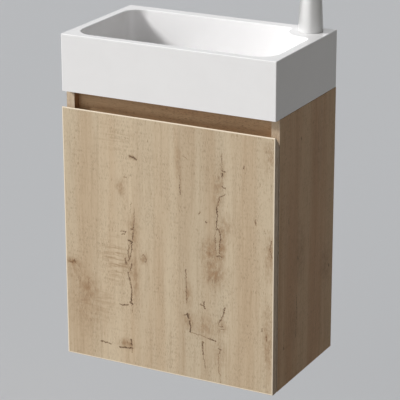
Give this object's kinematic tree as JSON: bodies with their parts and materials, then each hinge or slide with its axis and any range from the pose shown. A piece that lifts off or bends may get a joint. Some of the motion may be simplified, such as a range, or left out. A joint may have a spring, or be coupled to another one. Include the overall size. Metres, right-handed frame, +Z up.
{
  "type": "wall-hung vanity unit with basin",
  "caption": "Narrow wall-hung vanity: oblong white basin with a corner tap deck and lever tap, over an oak-faced cabinet with one door and a grip gap above it.",
  "frame": {"origin": "on the wall plane, midway between the two upper wall-screw holes", "axes": "+X to the right as the user faces it, +Y into the wall, +Z up"},
  "size_m": [0.4, 0.237, 0.7072],
  "materials": {
    "basin_white": "gloss white casting",
    "tap_white": "white, semi-gloss",
    "chrome": "polished",
    "oak_face": "matt oak decor, upright grain",
    "oak_board": "matt oak decor",
    "oak_band": "matt oak-coloured edge band",
    "silicone_white": "sanitary silicone",
    "bumper_clear": "clear",
    "plated_steel": "zinc plated",
    "hinge_nickel": "nickel plated",
    "zinc_alloy": "cast zinc",
    "birch": "plain, fluted dowel",
    "rubber_black": "matt",
    "plastic_white": "white polypropylene",
    "plastic_grey": "grey",
    "brass": "bare"
  },
  "bodies": {
    "cabinet": {"back_rail_bottom": "oak_board", "back_rail_top": "oak_board", "basin": "basin_white", "basin_sealant": "silicone_white", "bottom_panel": "oak_board", "cam_bolts": "plated_steel", "cam_locks": "zinc_alloy", "cartridge_housing": "plastic_grey", "cartridge_nut": "chrome", "grip_rail": "oak_board", "hinge_arm_lower": "hinge_nickel", "hinge_arm_screws": "plated_steel", "hinge_arm_upper": "hinge_nickel", "hinge_pins": "plated_steel", "hinge_plate_lower": "hinge_nickel", "hinge_plate_screws": "plated_steel", "hinge_plate_upper": "hinge_nickel", "plug_cartridge": "plastic_grey", "shelf": "oak_board", "shelf_pins": "plated_steel", "side_edge_bands": "oak_band", "side_panel_left": "oak_board", "side_panel_right": "oak_board", "tap_aerator": "plastic_grey", "tap_base_gasket": "rubber_black", "tap_body": "tap_white", "tap_horseshoe_gasket": "rubber_black", "tap_horseshoe_plate": "plated_steel", "tap_stud": "brass", "tap_stud_nut": "brass", "trap_body": "plastic_white", "trap_cup": "plastic_white", "trap_cup_seal": "rubber_black", "trap_inlet_tube": "plastic_white", "trap_outlet_pipe": "plastic_white", "trap_slip_nuts": "plastic_white", "trap_slip_washers": "rubber_black", "waste_body": "chrome", "waste_gaskets": "rubber_black", "waste_nut": "plastic_white", "wooden_dowels": "birch"},
    "door": {"door_panel": "oak_face", "door_edge_bands": "oak_band", "door_bumpers": "bumper_clear", "hinge_cup_upper": "hinge_nickel", "hinge_cup_lower": "hinge_nickel", "hinge_cup_screws": "plated_steel"},
    "hinge_links": {"hinge_link_upper": "hinge_nickel", "hinge_link_lower": "hinge_nickel"},
    "plug": {"waste_plug": "chrome", "plug_seal": "rubber_black"},
    "lever_carrier": {"stem_carrier": "plastic_grey", "carrier_pin": "plated_steel"},
    "lever": {"tap_lever": "tap_white", "lever_stem": "plated_steel", "lever_screw": "plated_steel", "lever_screw_cover": "tap_white"}
  },
  "joints": [
    {"name": "door_swing", "type": "hinge", "parent": "cabinet", "child": "door", "pos_m": [-0.194, -0.231, -0.2075], "axis": [0, 0, -1], "range_deg": [0, 105]},
    {"name": "hinge_link_turn", "type": "hinge", "parent": "cabinet", "child": "hinge_links", "pos_m": [-0.1713, -0.22732, -0.2075], "axis": [0, 0, 1], "range_deg": [0, 35.17]},
    {"name": "plug_lift", "type": "slide", "parent": "cabinet", "child": "plug", "axis": [0, 0, 1], "range_m": [0, 0.008]},
    {"name": "lever_swivel", "type": "hinge", "parent": "cabinet", "child": "lever_carrier", "pos_m": [0.1627, -0.0261, 0.25], "axis": [0, 0, 1], "range_deg": [-45, 45]},
    {"name": "lever_lift", "type": "hinge", "parent": "lever_carrier", "child": "lever", "pos_m": [0.1627, -0.0261, 0.25], "axis": [-0.5, 0.866, 0], "range_deg": [0, 25]}
  ],
  "couplings": [
    {"joint": "hinge_link_turn", "follows": "door_swing", "ratio": 0.33451}
  ]
}
